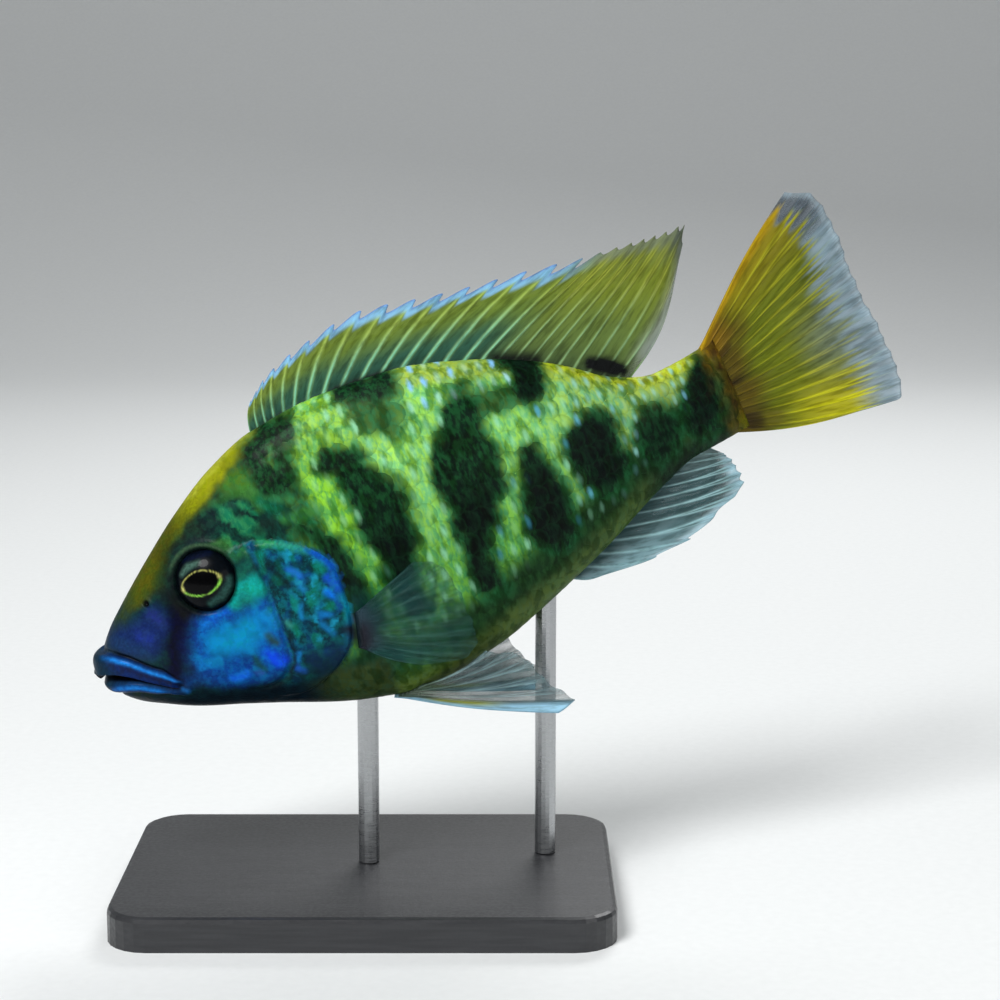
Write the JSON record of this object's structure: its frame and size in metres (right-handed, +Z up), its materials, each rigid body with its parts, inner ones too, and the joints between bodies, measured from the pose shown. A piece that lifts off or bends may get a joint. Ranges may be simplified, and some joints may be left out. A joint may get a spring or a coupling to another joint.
{
  "type": "venustus cichlid, life-size still model on a display stand",
  "caption": "Life-size still model of a grown male venustus cichlid, mid-turn with its tail raised, held on a flat base by short rods.",
  "frame": {"origin": "centre of the underside of the stand's base, on the floor", "axes": "+Z up; +X from the head towards the tail; +Y to the fish's right, the side its tail swings to"},
  "size_m": [0.1956, 0.0893, 0.1655],
  "materials": {
    "skin": "scaled, satin",
    "head_skin": "smooth, satin",
    "fin": "rayed, satin",
    "pale_fin": "rayed, satin",
    "eye": "polished",
    "stand_paint": "satin",
    "stand_steel": "brushed"
  },
  "bodies": {
    "root": {"head": "head_skin", "lower_jaw": "head_skin", "gill_cover_left": "head_skin", "gill_cover_right": "head_skin", "eye_left": "eye", "eye_right": "eye", "trunk": "skin", "tail_stalk": "skin", "dorsal_fin": "fin", "tail_fin": "fin", "anal_fin": "pale_fin", "pectoral_fin_left": "pale_fin", "pectoral_fin_right": "pale_fin", "pelvic_fin_left": "pale_fin", "pelvic_fin_right": "pale_fin", "stand_base": "stand_paint", "stand_rod_front": "stand_steel", "stand_rod_rear": "stand_steel"}
  },
  "joints": []
}
